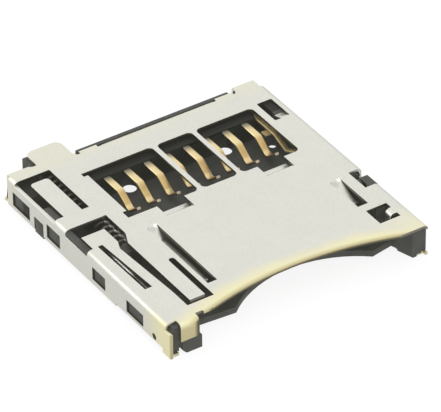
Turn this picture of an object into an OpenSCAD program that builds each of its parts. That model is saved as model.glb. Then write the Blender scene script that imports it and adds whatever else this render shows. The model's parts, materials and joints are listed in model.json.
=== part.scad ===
// Push-push socket for an 11 mm wide memory card, surface mounted on a board.
// X runs across the slot, Y runs in the direction of insertion, Z is up from the board.
// All sizes are in millimetres.

/* [Overall] */
// Width over the side walls of the cover
socket_w = 14.1; // [13.8:0.1:15]
// Height of the cover above the board
socket_h = 1.7; // [1.65:0.05:2]
// Front edge of the cover, measured forward from the middle
front_edge = 6.87; // [6.8:0.05:7.4]
// Main rear edge of the cover, measured back from the middle
rear_edge = 6.97; // [6.9:0.05:7.4]
// Play between the moulding and the side walls of the cover
side_gap = 0.02; // [0.01:0.01:0.05]

/* [Cover sheet] */
// Thickness of the sheet
cover_t = 0.15; // [0.12:0.01:0.18]
// Outer radius of the long side bends
bend_r = 0.25; // [0.22:0.01:0.3]
// Middle radius of the small folds
fold_r = 0.17; // [0.12:0.01:0.2]
// Lower edge of the side walls, rear part
wall_foot_rear = 0.14; // [0.1:0.02:0.24]
// Lower edge of the side walls, front part
wall_foot_front = 0.24; // [0.16:0.02:0.3]
// Place along Y where the lower edge of the walls steps
wall_step_y = -2.3; // [-2.4:0.05:-1.7]
// Radius of the hollow front edge
front_arc_r = 17; // [15:0.5:22]
// Depth of the hollow in the front edge
front_arc_depth = 0.92; // [0.7:0.02:1]
// Set-back of the front edge beside the front fold
front_setback = 0.32; // [0.2:0.02:0.36]
// Corner radius of the contact windows
window_r = 0.26; // [0.15:0.01:0.35]
// Front and rear limit of the contact windows
window_y = [1.27, 5.37]; // [1:0.01:6]
// Left and right limit of the left contact window
window_a_x = [-3.85, -0.2]; // [-5:0.05:5]
// Left and right limit of the middle contact window
window_b_x = [0.07, 2]; // [-5:0.05:5]
// Left and right limit of the right contact window
window_c_x = [2.25, 5.45]; // [-5:0.05:6]
// Width of the small ears of the left window
window_ear = 0.22; // [0.1:0.02:0.3]

/* [Cover openings] */
// Right edge of the U-shaped opening, from the left side
u_slot_in = 1.93; // [1.8:0.01:2]
// Front and rear edge of the U-shaped opening
u_slot_y = [3, 6.5]; // [2.5:0.02:7]
// Left and right edge of the tongue inside it, from the left side
u_tongue_x = [0.55, 1.55]; // [0.4:0.01:1.8]
// Rear end of that tongue
u_tongue_y = 6; // [5.5:0.02:6.2]
// Corner radius of that tongue
u_tongue_r = 0.2; // [0.1:0.02:0.4]
// Front and rear edge of the slot across the left bend
cross_slot_y = [1.17, 2.03]; // [1:0.01:2.2]
// Right end of the slot across the left bend, from the left side
cross_slot_in = 2.23; // [2:0.01:2.4]
// Front end of the notch that lies along the left bend
bend_notch_y = 0.15; // [0:0.01:0.4]
// Width of the notch that lies along the left bend
bend_notch_in = 0.35; // [0.3:0.01:0.5]
// Left and right edge of the long spring slot, from the left side
spring_slot_x = [1.63, 1.93]; // [1.4:0.01:2.2]
// Front and rear edge of the foot of the spring slot
spring_slot_y = [-5.78, -5.52]; // [-6:0.01:-5]
// Left and right edge of the short arm of the spring slot, from the left side
short_arm_x = [2.75, 3.05]; // [2.5:0.01:3.2]
// Rear end of the short arm
short_arm_y = -2.55; // [-4:0.05:-2]
// Rear and front end of the narrow slot over the cam pin
pin_slot_y = [0.18, -3.72]; // [-4:0.02:1]
// Left and right edge of the narrow slot at its rear end, from the left side
pin_slot_rear = [0.63, 0.87]; // [0.5:0.01:1.2]
// Left and right edge of the narrow slot at its front end, from the left side
pin_slot_front = [0.69, 1.07]; // [0.5:0.01:1.2]
// Left and right edge of the rear right opening, from the right side
tongue_hole_x = [1.23, 0.4]; // [0.3:0.01:1.4]
// Front and rear edge of the rear right opening
tongue_hole_y = [3.88, 5.48]; // [3.5:0.02:6]
// Front and rear edge of the slot across the right bend
edge_slot_y = [-2.9, -1.5]; // [-3.2:0.02:-1]
// Width of the slot across the right bend in the plate
edge_slot_in = 0.75; // [0.6:0.01:0.9]
// Left and right edge of the front right opening, from the right side
fold_hole_x = [1.78, 0.65]; // [0.5:0.01:2]
// Front and rear edge of the front right opening
fold_hole_y = [-5.58, -4.42]; // [-6:0.02:-4]
// Front and rear edge of the fold in the front right opening
fold_y = [-5.28, -4.83]; // [-6:0.01:-4]

/* [Cover leaves] */
// Place from the left side and width of the left holding-down leaf
leaf_a_x = [3.29, 0.5]; // [0:0.02:5]
// Root and far end of the opening of the left leaf
leaf_a_y = [0.1, -4.92]; // [-6:0.02:2]
// Place from the right side and width of the right holding-down leaf
leaf_b_x = [1.9, 0.56]; // [0:0.02:5]
// Root and far end of the opening of the right leaf
leaf_b_y = [-1.7, -3.95]; // [-6:0.02:2]
// Depth of the holding-down leaves under the cover plane
leaf_drop = 0.42; // [0.3:0.02:0.44]
// Length of the sloping part of the left and right leaf
leaf_run = [3.4, 1.2]; // [0.6:0.05:4]
// Middle radius of the bends of the leaves
leaf_bend_r = 0.15; // [0.1:0.01:0.18]
// Open length at the free end of the leaves
leaf_end_gap = 0.74; // [0.3:0.02:0.9]
// Left edges of the two flaps at the front of the contact windows
flap_x = [-2.5, 3.06]; // [-4:0.02:5]
// Width of the flaps
flap_w = 1.48; // [1:0.02:1.6]
// Root of the flaps
flap_root_y = 0.36; // [0.2:0.02:0.6]
// Length of the flaps
flap_len = 0.7; // [0.4:0.02:0.8]
// Depth of the flaps under the cover plane
flap_drop = 0.28; // [0.2:0.02:0.34]
// Play beside the leaves and flaps
leaf_gap = 0.02; // [0.01:0.01:0.04]

/* [Moulding] */
// Underside of the floor above the board
floor_lift = 0.12; // [0.12:0.01:0.16]
// Thickness of the floor
floor_t = 0.33; // [0.3:0.01:0.36]
// Front edge of the floor, measured forward from the middle
floor_front = 5.57; // [5.4:0.02:5.8]
// Radius of the finger cut-out in the floor
thumb_r = 5.75; // [5:0.05:6]
// Depth of the finger cut-out
thumb_depth = 1.4; // [1:0.05:1.5]
// Middle of the finger cut-out along X
thumb_x = 0.97; // [0.8:0.01:1.1]
// Rear face of the moulding, measured back from the middle
housing_rear = 7.2; // [7.18:0.01:7.22]
// Front face of the contact block, where the card stops
block_front = 4.93; // [4.85:0.01:5.05]
// Left limit of the card slot, from the left side
slot_left = 1.75; // [1.71:0.01:1.79]
// Right limit of the card slot, from the right side
slot_right = 1.15; // [1.11:0.01:1.19]
// Widening of the slot mouth on the left
mouth_flare = 0.13; // [0:0.01:0.14]
// Widening of the slot mouth on the right
mouth_flare_right = 0.4; // [0.2:0.02:0.44]
// Radius of the round tooling holes in the floor
tool_hole_r = 0.34; // [0.3:0.02:0.4]

/* [Contacts] */
// Number of contact springs
contact_n = 8; // [8:1:8]
// Distance from contact to contact
contact_pitch = 1.1; // [1.08:0.01:1.12]
// Middle of the contact row along X
contact_mid_x = 0.89; // [0.8:0.01:0.95]
// Width of a contact strip
contact_w = 0.38; // [0.3:0.01:0.42]
// Width of the contact strip at the tip of the nose
contact_tip_w = 0.2; // [0.16:0.01:0.3]
// Thickness of the contact strip
contact_t = 0.12; // [0.08:0.01:0.12]
// Depth of the level part under the cover plane, to the middle of the strip
contact_drop = 0.4; // [0.36:0.01:0.44]
// End of the level part along Y
contact_bend_y = 3.78; // [3.6:0.02:4]
// Lowest point of the contact bow along Y
contact_bow_y = 2.8; // [2.6:0.02:3]
// Fall from the level part to the bow
contact_fall = 0.52; // [0.4:0.01:0.56]
// Length of the turned-up nose in front of the bow
contact_nose = 0.67; // [0.5:0.01:0.7]
// Rise of the turned-up nose
contact_rise = 0.46; // [0.3:0.01:0.48]
// Middle of the riser to the solder tail along Y
contact_riser_y = 6.36; // [6.2:0.02:6.44]
// End of the solder tails along Y
contact_tail_y = 7.9; // [7.6:0.05:8]
// Side play of a contact in the moulding
contact_gap = 0.02; // [0.01:0.01:0.03]

/* [Card switch] */
// Middle of the switch arm along X
arm_x = 5.54; // [5.48:0.01:5.56]
// Width of the switch arm
arm_w = 0.3; // [0.24:0.01:0.32]
// Front edge and rear edge of the fixed blade
blade_y = [3.64, 4.06]; // [3:0.02:5]
// Free end of the fixed blade along X
blade_tip_x = 5.1; // [5.02:0.02:5.3]
// Gap between the blade and the arm when no card is in
switch_gap = 0.01; // [0.01:0.01:0.02]

/* [Eject mechanism] */
// Travel of the slider from ejected to fully pushed
stroke = 3.9; // [3.4:0.1:4]
// Play of the slider in its lane
slider_gap = 0.04; // [0.02:0.01:0.06]
// Width of the slider body
slider_w = 1.14; // [1.1:0.01:1.15]
// Rear and front end of the slider body when ejected
slider_y = [0.35, -4.4]; // [-5:0.05:1]
// Height of the slider above its lane
slider_h = 0.72; // [0.68:0.01:0.74]
// Depth of the heart groove
groove_depth = 0.38; // [0.3:0.01:0.4]
// Diameter of the cam pin wire
pin_d = 0.22; // [0.18:0.01:0.22]
// Bend radius of the cam pin
pin_bend_r = 0.2; // [0.18:0.01:0.24]
// Pivot of the cam pin, from the left side and along Y
pin_pivot = [1.03, -5]; // [-7:0.01:2]
// Length of the cam pin from leg to leg
pin_len = 4.95; // [4.9:0.01:5]
// Sideways way of the pin tip in the groove
pin_swing = 0.28; // [0.2:0.01:0.28]
// Play of the pin in its groove and hole, per side
pin_gap = 0.03; // [0.02:0.01:0.03]
// Middle of the coil spring, from the left side
spring_in = 2.1; // [2.09:0.01:2.11]
// Mean radius of the coil
coil_r = 0.36; // [0.34:0.01:0.37]
// Diameter of the spring wire
wire_d = 0.14; // [0.1:0.01:0.14]
// Number of turns of the coil
coil_n = 17; // [12:1:20]
// Rear seat of the spring along Y
spring_rear_y = 7.5; // [7.3:0.05:7.6]

/* [Hidden] */
$fn = 48;
past = 0.5;
half_w = socket_w / 2;
ceil_z = socket_h - cover_t;
mid_z = socket_h - cover_t / 2;
housing_x = half_w - cover_t - side_gap;
floor_z = floor_lift + floor_t;
left = [-half_w, -half_w];
right = [half_w, half_w];
wall_low = 0.05;
wall_top = socket_h - bend_r - wall_low;
seat_in = 0.03;
seat_x = half_w - bend_r - seat_in;
spring_x = -half_w + spring_in;
slot_x = [-half_w + slot_left, half_w - slot_right];
boss_x = half_w - side_gap;
wall_notch_h = 0.5;
wall_notch_z = socket_h - wall_notch_h;
left_wall_t = 0.2;
left_rear_z = 0.9;
lap = 0.1;
wall_head_in = 0.2;
wall_head_y = 4.2;
edge_head_y = -2;
floor_step_y = 3.9;
floor_step = 0.05;
lane_x = -housing_x + left_wall_t;
rib_in = [2.63, 2.99];
rib_x = left + rib_in;
rib_front_y = 0.9;
block_in = 1.25;
block_right = half_w - block_in;
rear_rib_in = [3.79, 1.79];
rear_rib_x = [-half_w + rear_rib_in[0], half_w - rear_rib_in[1]];
tab_in = [0.59, 1.59];
tab_x = left + tab_in;
tab_face = front_edge - side_gap;
tab_foot_z = 0.72;
tab_foot_len = 0.6;
tab_foot_notch = 0.28;
tab_foot_gap_z = 0.4;
leg_a_in = [0.15, 1.29];
leg_a_x = left + leg_a_in;
leg_b_in = [1.39, 0.25];
leg_b_x = right - leg_b_in;
leg_back = 0.43;
leg_face = rear_edge + leg_back;
toe_back = 0.71;
leg_toe = rear_edge + toe_back;
leg_step = 0.18;
flange_in = [5, 2.85];
flange_x = [-half_w + flange_in[0], half_w - flange_in[1]];
flange_h = 0.65;
flange_foot_z = socket_h - flange_h;
relief = 0.18;
relief_w = 0.2;
corner_notch = 0.45;
corner_notch_h = 0.35;
wall_hole = [-5.5, 0.44];
wall_hole_d = 0.34;
shelf_in = [1.65, 3.52];
shelf_x = left + shelf_in;
shelf_back = 1.28;
shelf_y = rear_edge + shelf_back;
shelf_r = 0.38;
house_in = [1.45, 3.45];
spring_house_x = left + house_in;
spring_house_y = shelf_y - lap;
spring_house_in = 0.37;
ear_len = [0.5, 0.25];
leaf_a_left = -half_w + leaf_a_x[0];
leaf_b_left = half_w - leaf_b_x[0];
slot_head_x = 1.6;
slot_head_y = 0;
slot_waist = [1.4, -0.5];
slot_neck_y = -4.6;
slot_shoulder = 0.35;
tongue_hole_r = 0.08;
edge_slot_wall = 0.45;
fold_root = 0.77;
fold_drop = 0.5;
root_lap = 0.08;
foot_a_in = 0.5;
foot_b_in = 0.5;
post_in = 0.12;
post_front = front_edge - post_in;
mouth_foot_z = 0.5;
foot_room_x = half_w - foot_b_in - side_gap;
fold_room = cover_t / 2 + fold_r + side_gap;
fold_low_z = mid_z - fold_r - side_gap;
pocket_z = 0.8;
tool_web = 0.15;
tool_hole_step = 0.26;
tool_holes = [[-1.85, 4.7], [3.5, 4.7], [5.55, 3.73]];
foot_a_from = [0.07, 0.67];
foot_y = foot_a_from - [front_edge, front_edge];
foot_b_from = [0.17, 1.27];
foot_b_y = foot_b_from - [front_edge, front_edge];
slider_x0 = lane_x + slider_gap;
slider_x1 = slider_x0 + slider_w;
pin_room = 0.08;
pin_bay = 0.42;
pin_leg = 0.58;
lane_z = ceil_z - pin_room - pin_d - 2 * slider_gap - slider_h;
slider_z0 = lane_z + slider_gap;
lug_z = floor_z + slider_gap;
slider_z1 = slider_z0 + slider_h;
lug_in = 2.81;
lug_x = -half_w + lug_in;
lug_t = 0.52;
lug_y = [slider_y[1] - slider_gap / 2, slider_y[1] - slider_gap / 2 + lug_t];
front_room = 0.06;
post_rear = slider_y[1] - front_room;
lane_end_y = slider_y[0] + stroke + lap;
seat_lug_over = 0.07;
seat_lug_x = spring_x + coil_r + seat_lug_over;
seat_lug_t = 0.6;
spring_front_y = 0;
spring_room = 0.12;
seat_stub = 0.7;
seat_lug_h = 0.16;
spring_lift = 0.05;
spring_z = floor_z + coil_r + wire_d / 2 + spring_lift;
pin_z = slider_z1 + slider_gap + pin_d / 2;
pin_x = -half_w + pin_pivot[0];
pin_tip = [pin_x, pin_pivot[1] + pin_len];
groove_w = pin_d + 2 * pin_gap;
groove_z = slider_z1 - groove_depth;
contact_z = socket_h - contact_drop;
bed_w = contact_w + 2 * contact_gap;
contact_first_x = contact_mid_x - contact_pitch * (contact_n - 1) / 2;
arm_z = contact_z;
blade_t = 0.1;
blade_z = arm_z - contact_t / 2 - switch_gap - blade_t / 2;
blade_root_in = 0.69;
blade_root_x = half_w - blade_root_in;
rear_rib_low = 0.06;
block_step_y = 5.62;
block_over = 0.04;
block_step_z = contact_z + contact_t / 2 + block_over;
tongue_in = 0.91;
tongue_w = 0.48;
tongue_x = [half_w - tongue_in, tongue_w];
tongue_len = 0.56;
tongue_run = 0.45;
tongue_drop = 0.16;
flap_run = 0.2;
// Left wall openings: rear end, front end, lower and upper edge
wall_windows = [
    [6.65, 5.15, 0.34, 1.1],
    [3.65, 2.5, 0.34, 1.1],
    [-0.3, -1.4, 0.4, 1.1],
    [-3.2, -4.6, 0.4, 1.06]
];
// The one wall opening that is open at the bottom
wall_gate = [4.75, 3.95, 0.86];

function unit(v) = v / norm(v);
function turn(v) = [-v[1], v[0]];
function arc(c, r, a0, a1, n) =
    [for (i = [0 : n]) c + r * [cos(a0 + (a1 - a0) * i / n), sin(a0 + (a1 - a0) * i / n)]];
function along(p, i) = unit(p[min(i + 1, len(p) - 1)] - p[max(min(i, len(p) - 2), 0)]);
function before(p, i) = i == 0 ? along(p, 0) : unit(p[i] - p[i - 1]);
function side_step(p, i, h) =
    let (u = before(p, i), v = along(p, i), n = unit(turn(u + v)))
    p[i] + n * h / (n * turn(u));

// A strip of even thickness along a bent line
module strip(path, t) {
    polygon(concat(
        [for (i = [0 : len(path) - 1]) side_step(path, i, t / 2)],
        [for (i = [len(path) - 1 : -1 : 0]) side_step(path, i, -t / 2)]
    ));
}

// Carries a profile drawn in Y and Z across X
module across(x0, x1) {
    translate([x0, 0, 0])
        rotate([90, 0, 90])
            linear_extrude(x1 - x0)
                children();
}

// A box between two corners
module block(x, y, z) {
    translate([min(x), min(y), min(z)])
        cube([abs(x[1] - x[0]), abs(y[1] - y[0]), abs(z[1] - z[0])]);
}

module field(x, y) {
    translate([min(x), min(y)])
        square([abs(x[1] - x[0]), abs(y[1] - y[0])]);
}

// A field with round corners
module round_field(x, y, r) {
    field([x[0] + r, x[1] - r], y);
    field(x, [min(y) + r, max(y) - r]);
    for (cx = [x[0] + r, x[1] - r])
        for (cy = [min(y) + r, max(y) - r])
            translate([cx, cy])
                circle(r);
}

// A straight groove with round ends
module lane(p, q, w) {
    d = q - p;
    translate(p)
        rotate(atan2(d[1], d[0]))
            translate([0, -w / 2])
                square([norm(d), w]);
    translate(p)
        circle(w / 2);
    translate(q)
        circle(w / 2);
}

module arch(w, h, r) {
    translate([-w / 2, 0])
        square([w, h - r]);
    translate([-w / 2 + r, 0])
        square([w - 2 * r, h]);
    for (s = [-1, 1])
        translate([s * (w / 2 - r), h - r])
            circle(r);
}

// Outline of the cover plate seen from above
module cover_outline() {
    fold_back = fold_r + cover_t / 2;
    difference() {
        union() {
            field([-half_w, half_w], [-front_edge, rear_edge - 0.35]);
            field([shelf_x[1], leg_b_x[0]], [0, rear_edge]);
            field([leg_a_x[0], leg_a_x[1]], [0, leg_face - fold_back]);
            field([leg_b_x[0], leg_b_x[1]], [0, leg_face - fold_back]);
            field([-half_w, leg_a_x[0]], [0, leg_face - fold_back - 0.05]);
            field([leg_a_x[1], shelf_x[0]], [0, rear_edge + leg_step]);
            field([shelf_x[0], shelf_x[1]], [0, shelf_y - shelf_r]);
            field([shelf_x[0] + shelf_r, shelf_x[1] - shelf_r], [0, shelf_y]);
            for (x = [shelf_x[0] + shelf_r, shelf_x[1] - shelf_r])
                translate([x, shelf_y - shelf_r])
                    circle(shelf_r);
        }
        // Hollow front edge
        translate([0, -front_edge + front_arc_depth - front_arc_r])
            circle(front_arc_r, $fn = 180);
        field([tab_x[1], tab_x[1] + 0.96], [-front_edge - past, -front_edge + front_setback]);
        field([tab_x[1], tab_x[1] + 0.4], [-front_edge - past, -front_edge + front_setback + 0.1]);
        // Room for the front fold and the notch left of it
        field(tab_x, [-front_edge - past, -tab_face + fold_back]);
        field([-half_w + cover_t, tab_x[0]], [-front_edge - past, -front_edge + corner_notch]);
        // Room for the rear fold and the relief cuts
        field(flange_x, [rear_edge - fold_back, rear_edge + past]);
        for (x = [shelf_x[1] + 0.12, flange_x[0] - relief_w, flange_x[1], leg_b_x[0] - 0.28])
            field([x, x + relief_w], [rear_edge - relief, rear_edge + past]);
        field([shelf_x[0] - 0.24, shelf_x[0]], [rear_edge + leg_step - 0.02, shelf_y]);
    }
}

// Openings on the left of the cover plate, with X counted from the left side
module left_openings() {
    difference() {
        field([-past, u_slot_in], u_slot_y);
        round_field(u_tongue_x, [u_slot_y[0] - 1, u_tongue_y], u_tongue_r);
    }
    field([-past, cross_slot_in], cross_slot_y);
    field([-past, bend_notch_in], [bend_notch_y, cross_slot_y[1]]);
    // Spring slot: head, waist, long arm and foot
    polygon([
        [slot_head_x, cross_slot_y[1]], [slot_head_x, slot_head_y], slot_waist,
        [spring_slot_x[0], slot_neck_y], [spring_slot_x[0], spring_slot_y[0]],
        [short_arm_x[1], spring_slot_y[0]], [short_arm_x[1], spring_slot_y[1]],
        [spring_slot_x[1], spring_slot_y[1]], [spring_slot_x[1], -slot_shoulder],
        [cross_slot_in, slot_shoulder], [cross_slot_in, cross_slot_y[1]]
    ]);
    field(short_arm_x, [spring_slot_y[0], short_arm_y]);
    translate([(short_arm_x[0] + short_arm_x[1]) / 2, short_arm_y])
        circle((short_arm_x[1] - short_arm_x[0]) / 2);
    polygon([
        [pin_slot_rear[0], pin_slot_y[0]], [pin_slot_rear[1], pin_slot_y[0]],
        [pin_slot_front[1], pin_slot_y[1]], [pin_slot_front[0], pin_slot_y[1]]
    ]);
}

// Openings on the right of the cover plate, with X counted from the right side
module right_openings() {
    round_field(-tongue_hole_x, tongue_hole_y, tongue_hole_r);
    field([-edge_slot_in, past], edge_slot_y);
    difference() {
        field(-fold_hole_x, fold_hole_y);
        field([-fold_root - leaf_gap, -fold_hole_x[1] + past], fold_y + [-leaf_gap, leaf_gap]);
    }
}

// All openings that go down through the cover plate
module cover_openings() {
    translate([-half_w, 0])
        left_openings();
    translate([half_w, 0])
        right_openings();
    round_field(window_a_x, window_y, window_r);
    field([window_a_x[0], window_a_x[1] - window_r], window_y);
    field([window_a_x[0] - window_ear, window_a_x[0]], [window_y[1] - ear_len[1], window_y[1]]);
    field([window_a_x[0] - window_ear, window_a_x[0]], [window_y[0], window_y[0] + ear_len[0]]);
    round_field(window_b_x, window_y, window_r);
    round_field(window_c_x, window_y, window_r);
    for (x = flap_x)
        field([x, x + flap_w], [flap_root_y, window_y[0] + window_r]);
    field([leaf_a_left, leaf_a_left + leaf_a_x[1]], leaf_a_y);
    field([leaf_b_left, leaf_b_left + leaf_b_x[1]], leaf_b_y);
}

// A plate edge turned down at the rear, ending at the height foot_z
module rear_fold(x, face, foot_z) {
    c = face - cover_t / 2 - fold_r;
    across(x[0], x[1])
        strip(concat(
            [[c - 0.1, mid_z]],
            arc([c, mid_z - fold_r], fold_r, 90, 0, 6),
            [[c + fold_r, foot_z]]
        ), cover_t);
}

// A rear leg with a solder toe on the board
module rear_leg(x) {
    c = leg_face - cover_t / 2 - fold_r;
    across(x[0], x[1])
        strip(concat(
            [[c - 0.1, mid_z]],
            arc([c, mid_z - fold_r], fold_r, 90, 0, 6),
            arc([c + 2 * fold_r, cover_t / 2 + fold_r], fold_r, 180, 270, 6),
            [[leg_toe, cover_t / 2]]
        ), cover_t);
}

// A leaf that is bent down under the plate, reaching from the root towards dir
module leaf(x, root, dir, run, length, drop) {
    slope = atan(drop / run);
    far = 2 * leaf_bend_r * sin(slope) + (drop - 2 * leaf_bend_r * (1 - cos(slope))) / tan(slope);
    across(x[0] + leaf_gap, x[0] + x[1] - leaf_gap)
        translate([root, 0])
            scale([dir, 1])
                strip(concat(
                    [[-root_lap, mid_z]],
                    arc([0, mid_z - leaf_bend_r], leaf_bend_r, 90, 90 - slope, 4),
                    arc([far, mid_z - drop + leaf_bend_r], leaf_bend_r, 270 - slope, 270, 4),
                    [[length, mid_z - drop]]
                ), cover_t);
}

module cover() {
    color("silver") {
        difference() {
            union() {
                intersection() {
                    translate([0, shelf_y + past, 0])
                        rotate([90, 0, 0])
                            linear_extrude(shelf_y + front_edge + 2 * past)
                                difference() {
                                    arch(socket_w, socket_h, bend_r);
                                    translate([0, -past])
                                        arch(socket_w - 2 * cover_t, ceil_z + past, bend_r - cover_t);
                                }
                    linear_extrude(socket_h)
                        cover_outline();
                }
                across(tab_x[0], tab_x[1])
                    mirror([1, 0])
                        strip(concat(
                            [[tab_face - cover_t / 2 - fold_r - 0.1, mid_z]],
                            arc([tab_face - cover_t / 2 - fold_r, mid_z - fold_r], fold_r, 90, 0, 6),
                            [[tab_face - cover_t / 2, tab_foot_z]]
                        ), cover_t);
                rear_fold(flange_x, rear_edge, flange_foot_z);
                rear_leg(leg_a_x);
                rear_leg(leg_b_x);
                block([-half_w, -half_w + foot_a_in], foot_y, [0, cover_t]);
                block([half_w - foot_b_in, half_w], foot_b_y, [0, cover_t]);
            }
            translate([0, 0, ceil_z - 0.03])
                linear_extrude(past)
                    cover_openings();
            // The slots that run over the side bends
            block([-half_w - past, -half_w + bend_notch_in], [bend_notch_y, cross_slot_y[1]],
                [wall_top, socket_h + past]);
            block([half_w - edge_slot_wall, half_w + past], edge_slot_y, [wall_notch_z, socket_h + past]);
            block([-half_w - past, tab_x[0]], [-front_edge - past, -front_edge + corner_notch],
                [socket_h - corner_notch_h, socket_h + past]);
            // Side wall openings
            for (s = [-1, 1]) {
                for (q = wall_windows)
                    block(s * [half_w - bend_r, half_w + past], [q[0], q[1]], [q[2], q[3]]);
                block(s * [half_w - bend_r, half_w + past], [wall_gate[0], wall_gate[1]],
                    [-past, wall_gate[2]]);
                block(s * [half_w - bend_r, half_w + past], [wall_step_y, rear_edge + past],
                    [-past, wall_foot_rear]);
            }
            block([-half_w - past, -half_w + bend_r], [foot_y[1], wall_step_y], [-past, wall_foot_front]);
            block([half_w - bend_r, half_w + past], [foot_b_y[1], wall_step_y], [-past, wall_foot_front]);
            translate([-half_w - past, wall_hole[0], wall_hole[1]])
                rotate([0, 90, 0])
                    cylinder(d = wall_hole_d, h = past + bend_r);
            // The right wall stops behind the front corner of the moulding
            block([half_w - bend_r, half_w + past], [-front_edge - past, foot_y[1]],
                [cover_t, socket_h - bend_r]);
        }
        leaf([leaf_a_left, leaf_a_x[1]], leaf_a_y[0], -1, leaf_run[0],
            leaf_a_y[0] - leaf_a_y[1] - leaf_end_gap, leaf_drop);
        leaf([leaf_b_left, leaf_b_x[1]], leaf_b_y[0], -1, leaf_run[1],
            leaf_b_y[0] - leaf_b_y[1] - leaf_end_gap, leaf_drop);
        for (x = flap_x)
            leaf([x, flap_w], flap_root_y, 1, flap_run, flap_len, flap_drop);
        // Tongue in the rear right opening
        leaf(tongue_x, tongue_hole_y[0], 1, tongue_run, tongue_len, tongue_drop);
        // Fold in the front right opening
        translate([half_w - fold_root, fold_y[1], 0])
            rotate([90, 0, 0])
                linear_extrude(fold_y[1] - fold_y[0])
                    strip(concat(
                        [[root_lap, mid_z]],
                        arc([0, mid_z - fold_r], fold_r, 90, 180, 6),
                        [[-fold_r, mid_z - fold_drop]]
                    ), cover_t);
    }
}

// Middle line of a contact spring from the nose to the solder tail
function contact_line() = concat(
    [
        [contact_bow_y - contact_nose, contact_z - contact_fall + contact_rise],
        [contact_bow_y - 0.16, contact_z - contact_fall + 0.08],
        [contact_bow_y - 0.05, contact_z - contact_fall + 0.015],
        [contact_bow_y + 0.06, contact_z - contact_fall + 0.015],
        [contact_bow_y + 0.16, contact_z - contact_fall + 0.06],
        [contact_bend_y - 0.14, contact_z - 0.06],
        [contact_bend_y, contact_z - 0.015],
        [contact_bend_y + 0.16, contact_z]
    ],
    arc([contact_riser_y - fold_r, contact_z - fold_r], fold_r, 90, 0, 4),
    arc([contact_riser_y + fold_r, contact_t / 2 + fold_r], fold_r, 180, 270, 4),
    [[contact_tail_y, contact_t / 2]]
);

// Middle line of the switch arm
function arm_line() = concat(
    [
        [1.7, arm_z - 0.02],
        [2.3, arm_z - 0.3],
        [2.45, arm_z - 0.35],
        [2.6, arm_z - 0.33],
        [3.34, arm_z - 0.04],
        [3.55, arm_z]
    ],
    arc([contact_riser_y - fold_r, contact_z - fold_r], fold_r, 90, 0, 4),
    arc([contact_riser_y + fold_r, contact_t / 2 + fold_r], fold_r, 180, 270, 4),
    [[housing_rear, contact_t / 2]]
);

// Middle line of the fixed blade, drawn in X and Z
function blade_line() = concat(
    [[blade_tip_x, blade_z]],
    arc([blade_root_x - fold_r, blade_z - fold_r], fold_r, 90, 0, 4),
    arc([blade_root_x + fold_r, blade_t / 2 + fold_r], fold_r, 180, 270, 4),
    [[housing_x - 0.03, blade_t / 2]]
);

function contact_x(i) = contact_first_x + contact_pitch * i;

// A contact seen from above, narrower towards the nose
module contact_outline(x) {
    tip_y = contact_bow_y - contact_nose - contact_t;
    neck_y = contact_bow_y - 0.2;
    end_y = contact_tail_y + past;
    polygon([
        [x - contact_tip_w / 2, tip_y], [x + contact_tip_w / 2, tip_y],
        [x + contact_w / 2, neck_y], [x + contact_w / 2 + past, neck_y],
        [x + contact_w / 2 + past, end_y], [x - contact_w / 2 - past, end_y],
        [x - contact_w / 2 - past, neck_y], [x - contact_w / 2, neck_y]
    ]);
}

module contact(i) {
    color("goldenrod")
        intersection() {
            across(contact_x(i) - contact_w / 2, contact_x(i) + contact_w / 2)
                strip(contact_line(), contact_t);
            linear_extrude(socket_h)
                contact_outline(contact_x(i));
        }
}

module detect_arm() {
    color("goldenrod")
        across(arm_x - arm_w / 2, arm_x + arm_w / 2)
            strip(arm_line(), contact_t);
}

module detect_blade() {
    color("darkgoldenrod")
        translate([0, blade_y[1], 0])
            rotate([90, 0, 0])
                linear_extrude(blade_y[1] - blade_y[0])
                    strip(blade_line(), blade_t);
}

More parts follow.
